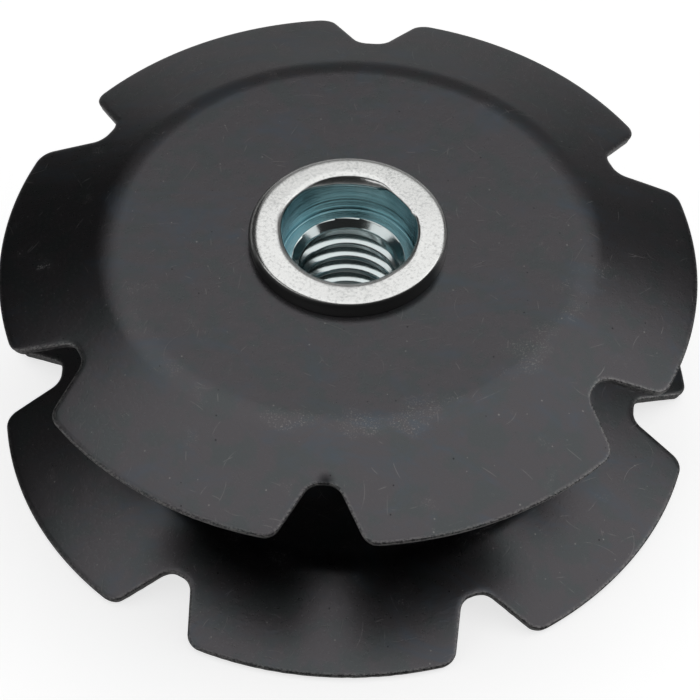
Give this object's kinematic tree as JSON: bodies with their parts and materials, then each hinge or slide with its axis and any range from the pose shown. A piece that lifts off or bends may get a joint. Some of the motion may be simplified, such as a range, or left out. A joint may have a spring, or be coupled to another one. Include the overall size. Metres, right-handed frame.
{
  "type": "star nut",
  "caption": "Star nut: dished star washers of dark spring steel riveted on a zinc-plated threaded bush, to anchor a bolt inside a tube.",
  "frame": {"origin": "on the bush's axis, at the height of the surface that the trailing washer's lobe tips stand on", "axes": "+Z along the bush's axis, from the trailing (concave) side that the bolt enters to the leading (convex) side that goes into the tube first; +X through the middle of a lobe of the leading washer, which is over a notch of the trailing washer"},
  "size_m": [0.036, 0.036, 0.0145],
  "materials": {
    "black_spring_steel": "black oxide, semi-gloss",
    "zinc_plated_steel": "blue-white zinc plate, satin"
  },
  "bodies": {
    "root": {"leading_star_washer": "black_spring_steel", "trailing_star_washer": "black_spring_steel", "threaded_bush": "zinc_plated_steel"}
  },
  "joints": []
}
